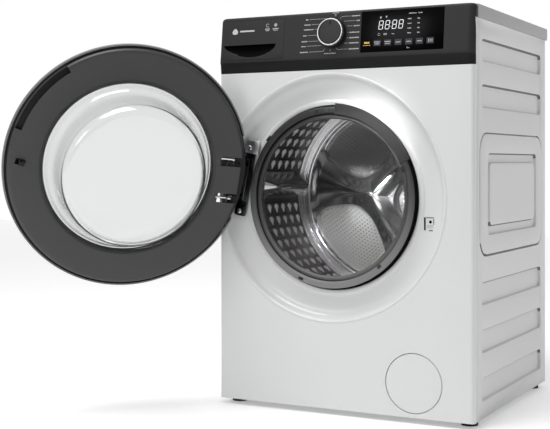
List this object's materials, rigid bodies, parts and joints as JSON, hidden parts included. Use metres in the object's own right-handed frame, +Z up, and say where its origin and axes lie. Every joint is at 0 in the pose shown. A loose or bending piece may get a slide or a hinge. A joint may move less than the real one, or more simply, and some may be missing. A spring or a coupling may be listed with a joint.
{
  "type": "front load washing machine",
  "caption": "White free standing front loading washing machine with an open round door, sloping control panel, detergent drawer, drum, tub, belt drive and pump",
  "frame": {"origin": "on the floor plane, under the middle of the cabinet", "axes": "+Z up, -Y towards the front with the porthole, +X to the right seen from the front"},
  "size_m": [0.9171, 0.9493, 0.865],
  "materials": {
    "white_enamel": "satin enamel",
    "pale_grey_enamel": "satin enamel",
    "worktop_grey": "satin",
    "black_plastic": "fine matte",
    "gloss_black": "gloss",
    "dark_grey_plastic": "satin",
    "door_shell_grey": "satin",
    "grey_rubber": "matte",
    "glass": "clear, moulded",
    "stainless": "polished",
    "zinc_plate": "zinc plated",
    "galvanised": "galvanised",
    "cast_aluminium": "as cast",
    "tub_plastic": "moulded",
    "concrete": "cast, rough",
    "belt_rubber": "ribbed",
    "circuit_board": "solder mask"
  },
  "bodies": {
    "cabinet": {"side_panel_left": "pale_grey_enamel", "side_panel_right": "pale_grey_enamel", "rear_panel": "galvanised", "base_frame": "galvanised", "front_panel": "white_enamel", "top_cover": "worktop_grey", "control_panel": "black_plastic", "display_window": "gloss_black", "control_board": "circuit_board", "drawer_housing": "tub_plastic", "inlet_valve": "dark_grey_plastic", "inlet_hose": "grey_rubber", "hinge_bracket": "zinc_plate", "hinge_screw_upper": "zinc_plate", "hinge_screw_lower": "zinc_plate", "hinge_pin_upper": "stainless", "hinge_pin_lower": "stainless", "door_lock": "black_plastic", "porthole_trim": "dark_grey_plastic", "door_gasket": "grey_rubber", "tub_front": "tub_plastic", "tub_rear": "tub_plastic", "heater": "stainless", "sump_hose": "grey_rubber", "drain_pump": "tub_plastic", "counterweight": "concrete", "suspension_spring_left": "zinc_plate", "suspension_spring_right": "zinc_plate", "damper_left": "black_plastic", "damper_right": "black_plastic", "motor": "cast_aluminium", "drive_belt": "belt_rubber", "bearing_front": "zinc_plate", "bearing_rear": "zinc_plate", "cord_gland": "black_plastic"},
    "door": {"door_shell": "door_shell_grey", "door_window": "glass", "door_inner_ring": "dark_grey_plastic", "door_glass": "glass", "hinge_arm_upper": "zinc_plate", "hinge_arm_lower": "zinc_plate"},
    "latch_hook": {"door_hook": "black_plastic"},
    "drum": {"drum_shell": "stainless", "drum_back": "stainless", "drum_lifter_1": "stainless", "drum_lifter_2": "stainless", "drum_lifter_3": "stainless", "drum_spider": "cast_aluminium", "drum_shaft": "stainless", "drum_pulley": "cast_aluminium"},
    "motor_rotor": {"motor_pulley": "zinc_plate"},
    "dial": {"program_dial": "black_plastic"},
    "drawer": {"drawer_front": "black_plastic", "drawer_tray": "dark_grey_plastic"},
    "hatch": {"filter_hatch": "white_enamel"},
    "plug": {"filter_plug": "black_plastic"},
    "foot_front_left_body": {"foot_front_left": "black_plastic"},
    "foot_front_right_body": {"foot_front_right": "black_plastic"},
    "foot_rear_left_body": {"foot_rear_left": "black_plastic"},
    "foot_rear_right_body": {"foot_rear_right": "black_plastic"}
  },
  "joints": [
    {"name": "door_hinge", "type": "hinge", "parent": "cabinet", "child": "door", "pos_m": [-0.25968, -0.2845, 0.50984], "axis": [0.1905, -0.0523, 0.9803], "range_deg": [0, 133.4]},
    {"name": "latch_rock", "type": "hinge", "parent": "door", "child": "latch_hook", "pos_m": [-0.57427, -0.61916, 0.54373], "axis": [0.3532, 0.0519, 0.9341], "range_deg": [0, 6], "stiffness_Nm_per_rad": 0.5},
    {"name": "drum_spin", "type": "hinge", "parent": "cabinet", "child": "drum", "pos_m": [-0.029, -0.0205, 0.465], "axis": [0, 1, 0], "continuous": true},
    {"name": "motor_spin", "type": "hinge", "parent": "cabinet", "child": "motor_rotor", "pos_m": [-0.029, 0.199, 0.107], "axis": [0, 1, 0], "continuous": true},
    {"name": "dial_turn", "type": "hinge", "parent": "cabinet", "child": "dial", "pos_m": [-0.0193, -0.26638, 0.818], "axis": [0, -0.9936, 0.1127], "continuous": true},
    {"name": "drawer_slide", "type": "slide", "parent": "cabinet", "child": "drawer", "axis": [0, -1, 0], "range_m": [0, 0.2]},
    {"name": "hatch_hinge", "type": "hinge", "parent": "cabinet", "child": "hatch", "pos_m": [0.1048, -0.2705, 0.083], "axis": [0, 0, -1], "range_deg": [0, 100]},
    {"name": "plug_turn", "type": "hinge", "parent": "cabinet", "child": "plug", "pos_m": [0.167, -0.2005, 0.083], "axis": [0, 1, 0], "continuous": true},
    {"name": "foot_front_left_turn", "type": "hinge", "parent": "cabinet", "child": "foot_front_left_body", "pos_m": [-0.272, -0.2225, 0.012], "axis": [0, 0, 1], "continuous": true},
    {"name": "foot_front_right_turn", "type": "hinge", "parent": "cabinet", "child": "foot_front_right_body", "pos_m": [0.272, -0.2225, 0.012], "axis": [0, 0, 1], "continuous": true},
    {"name": "foot_rear_left_turn", "type": "hinge", "parent": "cabinet", "child": "foot_rear_left_body", "pos_m": [-0.272, 0.2325, 0.012], "axis": [0, 0, 1], "continuous": true},
    {"name": "foot_rear_right_turn", "type": "hinge", "parent": "cabinet", "child": "foot_rear_right_body", "pos_m": [0.272, 0.2325, 0.012], "axis": [0, 0, 1], "continuous": true}
  ],
  "couplings": [
    {"joint": "motor_spin", "follows": "drum_spin", "ratio": 12.273}
  ]
}
